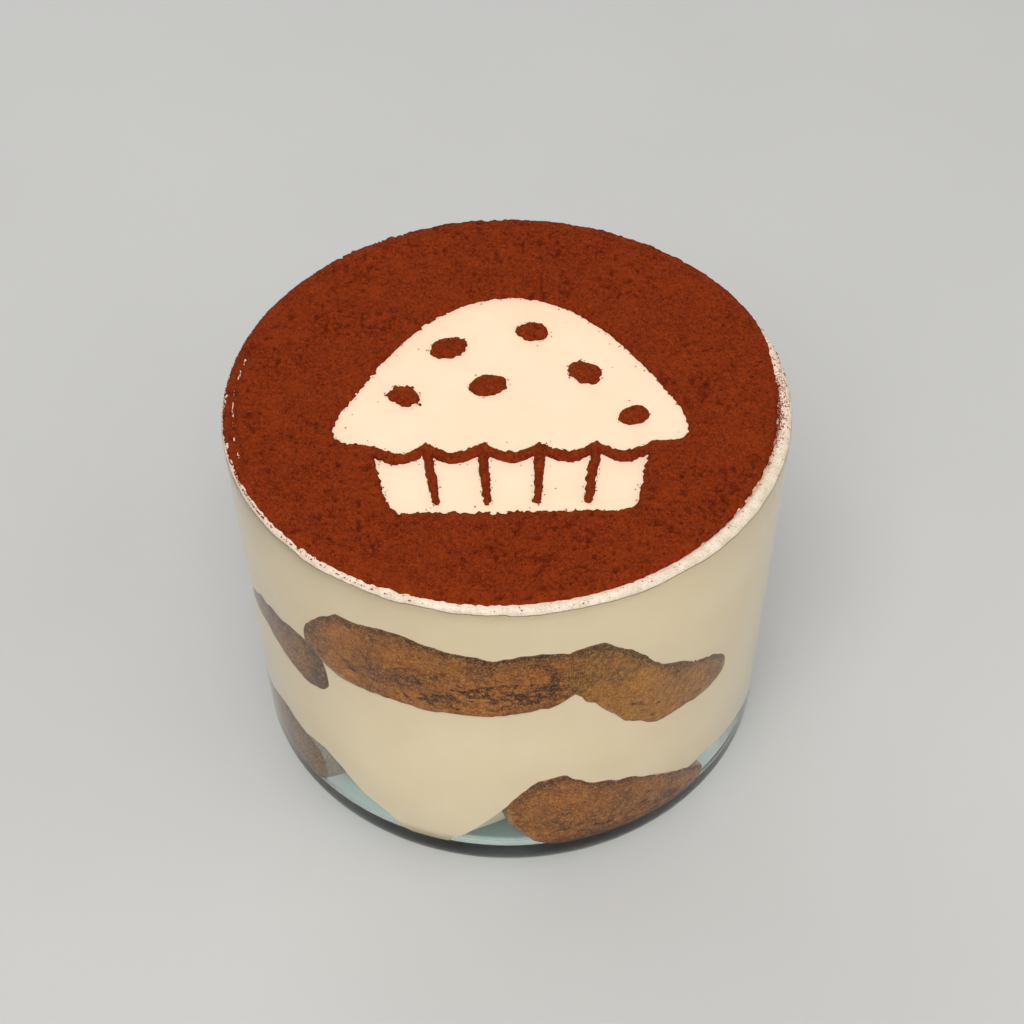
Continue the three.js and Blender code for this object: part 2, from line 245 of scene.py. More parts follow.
def surface_net(values, axes):
    """The surface where values on a grid cross zero: its vertices on the grid's axes, and its quads.
    Values are negative inside, and positive all round the edge of the grid."""
    shape = tuple(n - 1 for n in values.shape)
    total, count = np.zeros(shape + (3,)), np.zeros(shape)
    inside = values < 0
    grid = np.meshgrid(*axes, indexing="ij")
    for axis in range(3):
        start, end = neighbours(axis)
        v0, v1 = values[start], values[end]
        crosses = inside[start] != inside[end]
        t = np.where(crosses, v0 / np.where(crosses, v0 - v1, 1), 0)
        at = [g[start] for g in grid]
        at[axis] = at[axis] + t * (grid[axis][end] - at[axis])
        at = np.stack(at, -1) * crosses[..., None]
        others = [k for k in range(3) if k != axis]
        for shifts in ((0, 0), (0, 1), (1, 0), (1, 1)):
            pick = [slice(None)] * 3
            for k, shift in zip(others, shifts):
                pick[k] = slice(shift, shape[k] + shift)
            total += at[tuple(pick)]
            count += crosses[tuple(pick)]
    used = count > 0
    number = np.cumsum(used).reshape(shape) - 1
    vertices = total[used] / count[used][:, None]
    quads = []
    for axis in range(3):
        others = [(axis + 1) % 3, (axis + 2) % 3]
        start, end = neighbours(axis, slice(1, -1))
        a, b = inside[start], inside[end]
        for leaving in (True, False):
            where = np.argwhere((a & ~b) if leaving else (b & ~a))
            where[:, others] += 1
            corners = []
            for shifts in ((0, 0), (-1, 0), (-1, -1), (0, -1)):
                cell = where.copy()
                cell[:, others] += shifts
                corners.append(number[tuple(cell.T)])
            quads.append(np.stack(corners if leaving else corners[::-1], 1))
    return vertices, np.concatenate(quads)


# ---- Materials ----


class Nodes:
    """A material's node tree, with short ways to add nodes and join them."""

    def __init__(self, name):
        self.material = bpy.data.materials.new(name)
        self.material.use_nodes = True
        self.tree = self.material.node_tree
        self.shader = self.tree.nodes["Principled BSDF"]
        self.output = self.tree.nodes["Material Output"]
        self.place = self.add("ShaderNodeTexCoord").outputs["Object"]

    def add(self, kind, **values):
        made = self.tree.nodes.new(kind)
        for key, value in values.items():
            setattr(made, key, value)
        return made

    def feed(self, value, socket):
        """Joins another socket to a socket, or gives it a number or a colour."""
        if isinstance(value, bpy.types.NodeSocket):
            self.tree.links.new(value, socket)
        elif isinstance(value, (int, float)):
            socket.default_value = value
        else:
            socket.default_value = (*value, 1.0)[:len(socket.default_value)]

    def fill(self, node, **values):
        for key, value in values.items():
            self.feed(value, node.inputs[key.replace("_", " ")])

    def set(self, **values):
        """Feeds the shader's own sockets."""
        self.fill(self.shader, **values)

    def calc(self, operation, *values):
        made = self.add("ShaderNodeMath", operation=operation)
        for value, socket in zip(values, made.inputs):
            self.feed(value, socket)
        return made.outputs[0]

    def noise(self, size, detail=2.0, roughness=0.5, flat=1.0):
        """Noise from 0 to 1 with lumps of a size in millimetres, and flat times less tall than wide."""
        place = self.place
        if flat != 1.0:
            scaled = self.add("ShaderNodeVectorMath", operation="MULTIPLY")
            self.feed(place, scaled.inputs[0])
            self.feed((1.0, 1.0, flat), scaled.inputs[1])
            place = scaled.outputs[0]
        made = self.add("ShaderNodeTexNoise")
        self.fill(made, Scale=1 / (size * MM), Detail=detail, Roughness=roughness, Vector=place)
        return made.outputs["Fac"]

    def cells(self, size):
        """Cells of a size in millimetres."""
        made = self.add("ShaderNodeTexVoronoi")
        self.fill(made, Scale=1 / (size * MM), Vector=self.place)
        return made

    def attribute(self, name, output="Fac"):
        return self.add("ShaderNodeAttribute", attribute_name=name).outputs[output]

    def remap(self, source, low, high, to_low=0.0, to_high=1.0):
        made = self.add("ShaderNodeMapRange")
        self.fill(made, Value=source, From_Min=low, From_Max=high, To_Min=to_low, To_Max=to_high)
        return made.outputs["Result"]

    def sum(self, first, second):
        """Adds two terms, each a source and its factor."""
        return self.calc("ADD", self.calc("MULTIPLY", *first), self.calc("MULTIPLY", *second))

    def lines(self, source, width):
        """1 where a source is 0.5, falling to 0 where it is off by width."""
        off = self.calc("ABSOLUTE", self.calc("SUBTRACT", source, 0.5))
        return self.remap(off, 0.2 * width, width, 1.0, 0.0)

    def mix(self, share, first, second, blend="MIX"):
        """Mixes two colours, each a plain one or a socket, by a number or a socket."""
        made = self.add("ShaderNodeMix", data_type="RGBA", blend_type=blend)
        for value, socket in ((share, 0), (first, 6), (second, 7)):
            self.feed(value, made.inputs[socket])
        return made.outputs[2]

    def bump(self, height, strength, distance):
        """Bump of a height from 0 to 1 over a distance in millimetres."""
        made = self.add("ShaderNodeBump")
        self.fill(made, Strength=strength, Distance=distance * MM, Height=height)
        self.set(Normal=made.outputs["Normal"])

    def pass_lamps(self, tint):
        """Lets the lamps' light through, tinted, instead of casting a shadow."""
        for_shadow = self.add("ShaderNodeLightPath").outputs["Is Shadow Ray"]
        clear = self.add("ShaderNodeBsdfTransparent")
        self.fill(clear, Color=tint)
        both = self.add("ShaderNodeMixShader")
        for value, socket in zip((for_shadow, self.shader.outputs[0], clear.outputs[0]), both.inputs):
            self.feed(value, socket)
        self.feed(both.outputs[0], self.output.inputs["Surface"])


def glass_material():
    """Clear glass, a little green, that lets the lamps' light through to the filling."""
    n = Nodes("clear_glass")
    n.set(Base_Color=(0.87, 0.985, 0.965), Roughness=0.015, IOR=1.5)
    n.set(Specular_Tint=(0.45, 0.45, 0.45), Transmission_Weight=1.0)
    n.bump(n.noise(22.0, 1.0), 0.06, 0.6)
    n.pass_lamps((0.88, 0.92, 0.90))
    return n.material


CREAM = srgb(246, 219, 186)
CREAM_PALE = srgb(250, 227, 198)
CREAM_YELLOW = srgb(240, 208, 162)


def cream_material():
    """Mascarpone cream: ivory, with faint warmer and paler patches and a moist surface."""
    n = Nodes("mascarpone_cream")
    patches = n.remap(n.noise(9.0, 3.0), 0.3, 0.7, 0.0, 0.6)
    tone = n.mix(patches, CREAM, CREAM_PALE)
    warm = n.remap(n.noise(14.0, 2.0), 0.5, 0.75, 0.0, 0.3)
    n.set(Base_Color=n.mix(warm, tone, CREAM_YELLOW))
    n.set(Roughness=n.remap(n.noise(3.0, 3.0), 0.3, 0.7, 0.42, 0.6))
    fine = n.sum((n.noise(0.5, 2.0), 0.5), (n.noise(2.5, 2.0), 0.5))
    n.bump(fine, 0.25, 0.12)
    return n.material


# The crust's cracks take this colour, and so does the painted shade in the pores.
SPONGE_CRACK_AND_PIT_SHADE = srgb(70, 25, 8)


def biscuit_material():
    """Soaked sponge: its colour, painted shade included, is worked out for each vertex; its grain is added
    here.
    """
    n = Nodes("soaked_sponge")
    toned = n.attribute("crumb_and_shade", "Color")
    for size, dark, light in ((0.3, 0.85, 0.75), (0.9, 0.5, 0.3)):
        grain = n.noise(size, 3.0, 0.75)
        toned = n.mix(n.remap(grain, 0.38, 0.5, dark, 0.0), toned, (0.5, 0.38, 0.3), "MULTIPLY")
        toned = n.mix(n.remap(grain, 0.51, 0.66, 0.0, light), toned, srgb(208, 144, 74))
    cracked = n.attribute("cracked")
    dots = n.remap(n.cells(0.9).outputs["Distance"], 0.12, 0.24, 1.0, 0.0)
    toned = n.mix(n.calc("MULTIPLY", dots, cracked), toned, SPONGE_CRACK_AND_PIT_SHADE)
    for size, width in ((5.0, 0.028), (2.6, 0.022)):
        cracks = n.lines(n.noise(size, 3.0, 0.55, 1.7), width)
        toned = n.mix(n.calc("MULTIPLY", cracks, cracked), toned, SPONGE_CRACK_AND_PIT_SHADE)
    n.set(Base_Color=toned, Specular_IOR_Level=0.1)
    n.set(Roughness=n.remap(n.noise(1.6, 2.0), 0.3, 0.7, 0.6, 0.9))
    n.bump(n.sum((n.noise(0.4, 3.0), 0.6), (n.noise(1.4, 2.0), 0.4)), 0.5, 0.2)
    return n.material


COCOA = srgb(126, 45, 15)
COCOA_DARK = srgb(78, 22, 8)
COCOA_LIGHT = srgb(154, 60, 22)


def cocoa_material():
    """Cocoa powder: matt, with a grain of single specks and slightly redder and lighter patches."""
    n = Nodes("cocoa_powder")
    tone = COCOA
    for size, dark_share, light_share in ((0.2, 0.9, 0.9), (0.36, 0.5, 0.5)):
        parts = n.add("ShaderNodeSeparateColor")
        n.feed(n.cells(size).outputs["Color"], parts.inputs[0])
        tone = n.mix(n.remap(parts.outputs[0], 0.72, 1.0, 0.0, dark_share), tone, COCOA_DARK)
        tone = n.mix(n.remap(parts.outputs[1], 0.7, 1.0, 0.0, light_share), tone, COCOA_LIGHT)
    patches = n.remap(n.noise(4.0, 4.0, 0.6), 0.45, 0.65, 0.0, 0.3)
    tone = n.mix(patches, tone, COCOA_LIGHT)
    # Painted highlight on the lumps, and painted shade in the pits and cracks.
    relief_shading = n.attribute("relief_shading")
    tone = n.mix(n.remap(relief_shading, 0.55, 0.9, 0.0, 0.5), tone, COCOA_LIGHT)
    tone = n.mix(n.remap(relief_shading, 0.0, 0.4, 0.5, 0.0), tone, COCOA_DARK)
    n.set(Base_Color=tone, Roughness=0.95, Specular_IOR_Level=0.05)
    lumps = n.sum((n.noise(0.28, 3.0, 0.7), 0.6), (n.noise(0.8, 3.0, 0.6), 0.4))
    n.bump(lumps, 1.0, 0.4)
    return n.material


def film_material():
    """The thin film of cream left on the rim: paler, and dusted with the finest cocoa."""
    n = Nodes("cream_film")
    dust = n.remap(n.noise(0.32, 3.0, 0.7), 0.51, 0.7, 0.0, 0.5)
    tone = n.mix(n.remap(n.noise(1.6, 3.0), 0.35, 0.65), srgb(222, 204, 180), srgb(240, 224, 204))
    n.set(Base_Color=n.mix(dust, tone, srgb(160, 116, 92)), Roughness=0.5)
    n.bump(n.noise(0.5, 3.0, 0.6), 0.5, 0.1)
    n.pass_lamps((0.95, 0.94, 0.92))
    return n.material


def grain_material():
    """Single grains of cocoa."""
    n = Nodes("cocoa_grain")
    n.set(Base_Color=n.mix(n.remap(n.noise(0.6), 0.35, 0.65), COCOA, COCOA_LIGHT), Roughness=0.95)
    return n.material


def floor_material():
    n = Nodes("pale_floor")
    n.set(Base_Color=n.mix(n.noise(60.0, 3.0), (0.54, 0.54, 0.53), (0.58, 0.58, 0.57)), Roughness=0.7)
    return n.material


# ---- Glass ----

GLASS_STEPS = 256
CREAM_STEPS = 540
ARC_STEPS = 14
FILM_STEPS = 16
FILM_OVER, FILM_UNDER = 0.06, -0.08  # the film's two faces, measured out from the lip
FILM_EDGE = -0.02  # where the two faces meet


def arc(x, z, radius, start, end):
    """Radii and heights along an arc."""
    angle = np.linspace(start, end, ARC_STEPS + 1)
    return [(x + radius * math.cos(a), z + radius * math.sin(a)) for a in angle]


def bottom_corner(depth, height, radius):
    """The rounded corner at the foot of the line that runs at a depth inside the outer wall."""
    middle = height + radius
    return arc(wall_radius(depth + radius, middle), middle, radius, -math.pi / 2, -WALL_ANGLE)


def glass(material):
    """The tumbler, turned: up the outside, over the lip and down the inside."""
    lip = arc(LIP_CENTRE, LIP_MIDDLE, LIP_RADIUS, -WALL_ANGLE, math.pi - WALL_ANGLE)
    profile = bottom_corner(0, 0, HEEL_RADIUS) + lip + bottom_corner(WALL, FLOOR, CORNER_RADIUS)[::-1]
    bearings = np.arange(GLASS_STEPS) * 360 / GLASS_STEPS
    rings = [ring(radius, bearings, height) for radius, height in profile]
    settle(rings_to_mesh("glass_tumbler", rings, material, 0, FLOOR), "glass", "glass")


def rim_film(material):
    """The film of cream that the levelling left on the lip, down to where the outer wall starts."""
    bearings = np.arange(CREAM_STEPS) * 360 / CREAM_STEPS
    end = 0.3 + 0.2 * noise(np.radians(bearings) * RIM_RADIUS, 0.0, 0.0, 3.0, 81, 3)
    out = [(i / FILM_STEPS, FILM_OVER) for i in range(FILM_STEPS + 1)]
    back = [(1 - i / FILM_STEPS, FILM_UNDER) for i in range(1, FILM_STEPS)]
    rings = []
    for share, thickness in out + back:
        angle = end + (math.pi - end) * share
        taper = min(1.0, 6 * share, 6 * (1 - share))
        radius = LIP_RADIUS + thickness * taper + FILM_EDGE * (1 - taper)
        rings.append(ring(LIP_CENTRE + radius * np.cos(angle), bearings, LIP_MIDDLE + radius * np.sin(angle)))
    faces = ring_faces(len(rings) + 1, CREAM_STEPS) % (len(rings) * CREAM_STEPS)
    settle(make_mesh("cream_film_on_rim", np.concatenate(rings), faces, material), "cream")


# ---- Sponge fingers ----

WALL_OVERREACH = 5.0
SECTION_POWER = 3.4
END_POWER = 3.2
WALL_LINE = RIM_RADIUS - WALL  # distances along a finger are measured along this radius
FINGER_STEP = 0.34
FINGER_MARGIN = 1.5
DEPTH_STEPS = [-0.5, -0.25, 0.06, 0.14, 0.24, 0.45, 0.7, 1.0, 1.5, 2.2, 3.2, 4.6, 6.4, 8.6, 11.2, 14.2, 17.6,
               21.4, 25.6, 30.2, 35.2, 40.6, 46.4, 52.6]
PORE_ZONE = 2.3  # pores are cut no deeper than this
PORE_LINE = -0.42  # pores gather at this height share, under a finger's middle
LONG_CRACKS = 16
CRACK_LINK = 0.55


def sponge(bearing, side, **looks):
    """What a finger that faces the wall at a bearing is like. side holds rows of [distance along the
    finger, height of its middle, thickness], close to those of the CAD part."""
    usual = dict(depth=FINGER_DEPTH, slope=0.0, reach=0.3, top_shade=0.6, tip_shade=0.0)
    return SimpleNamespace(bearing=bearing, side=np.array(side, float), **usual | looks)


FINGERS = {
    "biscuit_upper_centre": sponge(
        -16.5, [[-20.6, 43.8, 9], [-17.2, 45.7, 14.2], [-14, 46.7, 16.5], [-5, 47.6, 16.4],
                [4, 46.6, 14.6], [9, 46.2, 13.6], [21, 48.5, 15]],
        reach=0.24, tone=(172, 100, 30), dark=(80, 44, 18), pores=1.0),
    "biscuit_upper_right": sponge(
        31.5, [[-14.5, 50, 12], [-9, 47.2, 15.5], [-4.5, 42, 17.5], [1, 37, 14], [6, 35.4, 11],
               [14.5, 32.8, 7]],
        reach=0.24, tone=(170, 110, 38), dark=(90, 62, 26), pores=0.25, top_shade=0.8),
    "biscuit_upper_left": sponge(
        -58.5, [[-11.5, 37.6, 4], [-4, 39, 6.5], [1, 38.6, 10.5], [6, 38.3, 13.4], [12.5, 38.1, 12.8]],
        reach=0.24, tone=(138, 88, 22), dark=(72, 48, 24), pores=0.2, top_shade=0.8, tip_shade=0.9,
        depth=54, slope=0.14),
    "biscuit_upper_back_right": sponge(
        127, [[-21, 40, 10], [-12, 42, 13.5], [0, 43.5, 15], [10, 43, 13.5], [21, 41, 11]],
        tone=(162, 98, 42), dark=(88, 54, 26), pores=0.7),
    "biscuit_upper_back_left": sponge(
        -148, [[-20, 46, 10], [-9, 45.5, 14.5], [3, 44, 14], [12, 42, 12.5], [20, 39.5, 10]],
        tone=(158, 92, 36), dark=(86, 52, 24), pores=0.6),
    "biscuit_lower_right": sponge(
        23.5, [[-16, 15, 11], [-12, 15, 18], [-8, 14.8, 20], [-4, 12.4, 16], [5, 11, 12.5],
               [10.5, 9.4, 9.2], [16.5, 8, 6]],
        tone=(160, 92, 24), dark=(86, 40, 14), pores=0.8, top_shade=0.5),
    # This finger's darker tone is partly painted shade.
    "biscuit_lower_left": sponge(
        -76, [[-19, 9.5, 9], [-8, 10, 10.5], [2, 10, 10.4], [8, 11, 12.4], [18, 11, 12.5]],
        tone=(112, 72, 22), dark=(64, 42, 18), pores=0.3, top_shade=0.8),
    "biscuit_lower_back_right": sponge(
        112, [[-18, 9.5, 9], [-7, 11.5, 13.5], [6, 12, 14.5], [18, 10, 10]],
        tone=(156, 96, 40), dark=(88, 54, 26), pores=0.6),
    "biscuit_lower_back_left": sponge(
        -163, [[-19, 10, 10], [-8, 11, 13], [5, 11.5, 13], [19, 10, 9.5]],
        tone=(160, 100, 44), dark=(86, 54, 26), pores=0.7),
}


def side_at(spec, along):
    """Height of a finger's middle and its thickness, at a distance along it."""
    return [np.interp(along, spec.side[:, 0], spec.side[:, k]) for k in (1, 2)]


def finger_form(spec, arc_place, depth, height):
    """How far a finger's rounded bar is past 1, at a place along the wall, a depth and a height.
    Also gives the place's distance along the finger and its height over the middle, as shares."""
    radius = room_radius(height, spec.reach) - depth
    turn = arc_place / WALL_LINE
    x, away = radius * np.sin(turn), radius * np.cos(turn)
    outer = WALL_LINE + WALL_OVERREACH
    reach = (spec.depth + WALL_OVERREACH) / 2
    middle, thickness = side_at(spec, x)
    middle = middle + spec.slope * (away - outer)
    start, end = spec.side[[0, -1], 0]
    along = (2 * x - start - end) / (end - start)
    across = np.abs((away - (outer - reach)) / reach)
    up = (height - middle) / (thickness / 2)
    section = across**SECTION_POWER + np.abs(up) ** SECTION_POWER
    form = (section ** (END_POWER / SECTION_POWER) + np.abs(along) ** END_POWER) ** (1 / END_POWER)
    return form - 1, along, up


def pores_of(spec, half_length, rng):
    """Ellipsoid pores and short cracks near the wall: rows of [place along, height share, half length,
    half height, depth, turn]."""
    rows = []
    for _ in range(int(260 * spec.pores) + 40):
        along, up = rng.uniform(-0.97, 0.97), rng.uniform(-0.9, 0.9)
        near_line = math.exp(-(((up - PORE_LINE) / 0.3) ** 2))
        if rng.random() > 0.12 + 0.88 * spec.pores * near_line * (0.55 + 0.45 * along):
            continue
        big = rng.random() ** 2.2
        rows.append([along * half_length, up, 0.22 + 1.1 * big, 0.16 + 0.26 * rng.random(),
                     0.12 + 0.1 * rng.random(), rng.normal(0, 0.3)])
    # A long crack is a winding chain of short ones.
    for _ in range(int(LONG_CRACKS * spec.pores ** 2)):
        place, up = rng.uniform(-0.35, 0.75) * half_length, rng.uniform(-0.75, -0.15)
        heading = rng.normal(0, 0.3)
        for _ in range(rng.integers(5, 15)):
            rows.append([place, up, CRACK_LINK, 0.2 + 0.12 * rng.random(), 0.19, heading])
            place += CRACK_LINK * math.cos(heading)
            up += CRACK_LINK * math.sin(heading) / 7
            heading = 0.8 * heading + rng.normal(0, 0.45)
            if abs(place) > 0.9 * half_length or not -0.85 < up < 0.1:
                break
    return rows


def finger_axes(spec):
    """Places along the wall, depths and heights of the grid that a finger is worked out on."""
    side = spec.side
    start, end = np.arcsin(np.clip(side[[0, -1], 0] / (WALL_LINE - 4), -0.99, 0.99)) * WALL_LINE
    places = np.arange(start - FINGER_MARGIN, end + FINGER_MARGIN, FINGER_STEP)
    depths = np.array([d for d in DEPTH_STEPS if d < spec.depth + WALL_OVERREACH])
    low = (side[:, 1] - side[:, 2] / 2).min() - FINGER_MARGIN
    low -= spec.slope * (spec.depth + WALL_OVERREACH)
    high = (side[:, 1] + side[:, 2] / 2).max() + FINGER_MARGIN
    return places, depths, np.arange(max(low, FLOOR - 1.0), high, FINGER_STEP)


def pits(spec, axes, grid, rng):
    """Which depths of the grid are near the wall, and how far inside a pore each point there is."""
    near = axes[1] < PORE_ZONE
    s, d, z = (values[:, near] for values in grid)
    pit = np.full(s.shape, -9.0)
    start, end = spec.side[[0, -1], 0]
    for place, share, length, thick, deep, turn in pores_of(spec, (end - start) / 2, rng):
        x = (end + start) / 2 + place
        height, thickness = side_at(spec, x)
        at_z = height + share * thickness / 2
        at_s = math.asin(x / WALL_LINE) * WALL_LINE
        i = np.abs(axes[0] - at_s) < length + 1
        k = np.abs(axes[2] - at_z) < length + 1
        block = np.ix_(i, np.ones(near.sum(), bool), k)
        ds, dz = s[block] - at_s, z[block] - at_z
        a = ds * math.cos(turn) + dz * math.sin(turn)
        b = dz * math.cos(turn) - ds * math.sin(turn)
        span = np.sqrt((a / length) ** 2 + (b / thick) ** 2 + (np.maximum(d[block], 0) / deep) ** 2)
        pit[block] = np.maximum(pit[block], (1 - span) * thick)
    return near, pit


def blend(first, second, share):
    """A mix with a share of the second."""
    return first * (1 - share) + second * share


def crumb_colours(spec, s, d, z, seed):
    """A finger's colour and how cracked it is, at places along the wall, depths and heights."""
    # The colour holds painted shade along the outline and in the pores, besides the sponge's own tones.
    form, along, up = finger_form(spec, s, d, z)
    rim = smooth(-form, 0.0, 0.16)
    stain = smooth(noise(s, d, z, 5.5, seed + 9, 3), -0.1, 0.55)
    top = smooth(up + 0.25 * noise(s, d, z, 3.0, seed + 11, 2), 0.35, 0.95) * spec.top_shade
    # Painted shade along the finger's outline, where it meets the cream, stronger at its upper edge.
    outline_shade = (1 - rim) * (0.15 + 0.5 * smooth(up, -0.3, 0.6))
    tip = spec.tip_shade * smooth(along, 0.45, 0.75) * smooth(up, -0.75, -0.3)
    dark = np.clip(0.45 * stain + 0.75 * top + outline_shade + tip, 0, 1)[:, None]
    colour = blend(srgb(*spec.tone), srgb(*spec.dark), dark)
    # Painted shade in the pores and cracks, darker the deeper they are cut.
    pit_shade = smooth(d, 0.02, 0.14) * (d < 0.4) * (rim > 0.3)
    colour = blend(colour, SPONGE_CRACK_AND_PIT_SHADE, 0.9 * pit_shade[:, None])
    light = smooth(noise(s, d, z, 2.4, seed + 13, 2), 0.15, 0.7)[:, None] * 0.22
    colour = colour * (1 + light * (1 - dark))
    # A crack follows the rounded end of a finger with a split crust, and cream creeps over the edges.
    split = smooth(along, 0.5, 0.75) * (1 - smooth(np.abs(form + 0.17), 0.012, 0.04)) * (spec.pores == 1)
    colour = colour * (1 - 0.7 * split[:, None])
    creep = (1 - smooth(-form, 0.0, 0.06)) * smooth(noise(s, d, z, 3.1, seed + 17, 2), -0.3, 0.5)
    creep = 0.6 * creep[:, None] * smooth(-up, -0.5, 0.4)[:, None]
    colour = blend(colour, CREAM_YELLOW * 0.6, creep)
    where = 0.1 + np.exp(-(((up + 0.35) / 0.45) ** 2)) * (0.6 + 0.4 * np.clip(along, -1, 1))
    patchy = smooth(noise(s, d, z, 5.0, seed + 15, 2), -0.4, 0.2)
    return colour, np.clip(1.3 * spec.pores * where * patchy, 0, 1)


def finger(name, number, material):
    """A sponge finger: the surface of its lumpy bar, cut off at the glass's wall, less its pores."""
    spec = FINGERS[name]
    seed = 20 * number
    axes = finger_axes(spec)
    s, d, z = grid = np.meshgrid(*axes, indexing="ij")
    form, along, _ = finger_form(spec, s, d, z)
    steepness = np.sqrt(sum(g * g for g in np.gradient(form, *axes)))
    outline = np.clip(form / np.clip(steepness, 0.02, None), -6, 6)
    lumps = 0.42 * noise(s, d, z, 4.2, seed, 2) + 0.2 * noise(s, d, z, 1.3, seed + 5, 2)
    outline = outline + lumps * (1 - 0.75 * smooth(np.abs(along), 0.7, 0.95)) - 0.2
    field = np.maximum(np.maximum(outline, -d), (FLOOR - spec.reach) - z)
    near, pit = pits(spec, axes, grid, np.random.default_rng(100 + number))
    pit = np.minimum(pit, -1.0 - outline[:, near])  # no pore reaches the outline
    field[:, near] = np.maximum(field[:, near], pit)
    for axis in range(3):
        layers = np.moveaxis(field, axis, 0)
        layers[[0, -1]] = np.maximum(layers[[0, -1]], 0.5)
    vertices, quads = surface_net(field, axes)
    s, d, z = vertices.T
    points = ring(room_radius(z, spec.reach) - d, spec.bearing + np.degrees(s / WALL_LINE), z)
    made = make_mesh(name.replace("biscuit", "sponge_finger"), points, quads, material)
    colour, cracked = crumb_colours(spec, s, d, z, seed)
    paint(made, "crumb_and_shade", colour)
    paint(made, "cracked", cracked)
    settle(made, "biscuit", name)


# ---- Cream ----

# Hollows between the lower fingers: rows of [bearing, height at the wall, depth along the floor].
HOLLOWS = [
    [[-53, 11.5, 13], [-47, 11.8, 12], [-42, 9.8, 10], [-36, 6, 8], [-29, 3.6, 6], [-25, 1, 3]],
    [[-15, 1, 3], [-10.5, 4.2, 6], [-4, 9.5, 9], [1, 14, 11], [4, 15.5, 12], [9, 15.5, 12]],
    [[41, 6.3, 6], [48, 7.6, 7], [60, 6.2, 6], [74, 4.4, 4], [84, 2, 3]],
    [[137, 9, 9], [143, 8, 8], [150, 5, 6], [160, 1, 3]],
    [[-130, 1, 3], [-118, 4, 6], [-106, 7, 8], [-98, 8, 9]],
]
HOLLOW_ENDS = 2.2  # over how many degrees a hollow fades out past its rows
WIDE_ENDS = 16.0  # the same for the rows of points that follow the hollows' upper edge
SHARP_ANGLE = 40.0
BEHIND_FINGERS = 3.0  # how far the cream keeps back from the wall behind a finger
BESIDE = 75  # a finger has no effect on the cream's side at more degrees than this from its middle


def hollows(bearing, ends=HOLLOW_ENDS):
    """How high the hollow at a bearing reaches up the wall, 0 for none, and how deep its floor is."""
    tall, depth = 0.0 * bearing, 1.0 + 0.0 * bearing
    for rows in HOLLOWS:
        at, height, inwards = np.transpose(rows)
        off = np.clip(np.maximum(at[0] - bearing, bearing - at[-1]), 0, None)
        here = np.interp(bearing, at, height) * np.clip(1 - off / ends, 0, 1)
        depth = np.where(here > 0, np.interp(bearing, at, inwards), depth)
        tall = np.maximum(tall, here)
    wobble = 0.3 * noise(np.radians(bearing) * 38, 0.0, 0.0, 3.0, 61, 2) * smooth(tall, 0.5, 3.0)
    return np.clip(tall + wobble, 0, None), depth


def cream_side(bearing, height):
    """Radius of the cream's side at bearings and heights."""
    radius = room_radius(height, CREAM_REACH)
    tall, depth = hollows(bearing)
    share = np.clip((height - FLOOR) / np.maximum(tall, 0.05), 0, 1)
    inner = wall_radius(WALL, FLOOR) - depth
    curved = inner + (depth - 1) * np.sqrt(np.clip(1 - (1 - share) ** 2, 0, 1))
    radius = np.where(height < FLOOR + tall, np.minimum(radius, curved), radius)
    for spec in FINGERS.values():
        off = (bearing - spec.bearing + 180) % 360 - 180
        nearby = np.abs(off) < BESIDE
        form, _, _ = finger_form(spec, np.radians(np.where(nearby, off, BESIDE)) * WALL_LINE, 0.0, height)
        radius = radius - BEHIND_FINGERS * (smooth(-form, 0.07, 0.14) * nearby)
    return radius


def parting_height(x, y):
    """Height at which the two creams part: the mean of the upper fingers' heights by nearness."""
    total, weights = 0.0, 0.0
    near = WALL_LINE - FINGER_DEPTH / 2
    for name, spec in FINGERS.items():
        if "upper" not in name:
            continue
        at_x, at_y = polar(near, spec.bearing)
        weight = 1 / ((x - at_x) ** 2 + (y - at_y) ** 2 + FINGER_DEPTH**2)
        total = total + weight * side_at(spec, 0)[0]
        weights = weights + weight
    return total / weights


def cream_surface(x, y):
    """Height of the top of the cream: level, with soft spatula marks, and a little higher at the wall."""
    marks = 0.05 * noise(x * 0.35 + y * 0.1, y, 0.0, 5.0, 71, 2) + 0.03 * noise(x, y, 0.0, 2.2, 72, 2)
    return CREAM_TOP + 0.12 + marks + 0.3 * smooth(np.hypot(x, y), 37.5, 40.4)


def parting_ring(radius, bearings):
    return ring(radius, bearings, parting_height(*polar(radius, bearings)))


def settle_cream(layer, rings, material, low, high):
    """One of the two layers of cream, its edges left sharp."""
    made = rings_to_mesh("cream_layer_" + layer, rings, material, low, high)
    made.data.set_sharp_from_angle(angle=math.radians(SHARP_ANGLE))
    settle(made, "cream", "cream_" + layer)


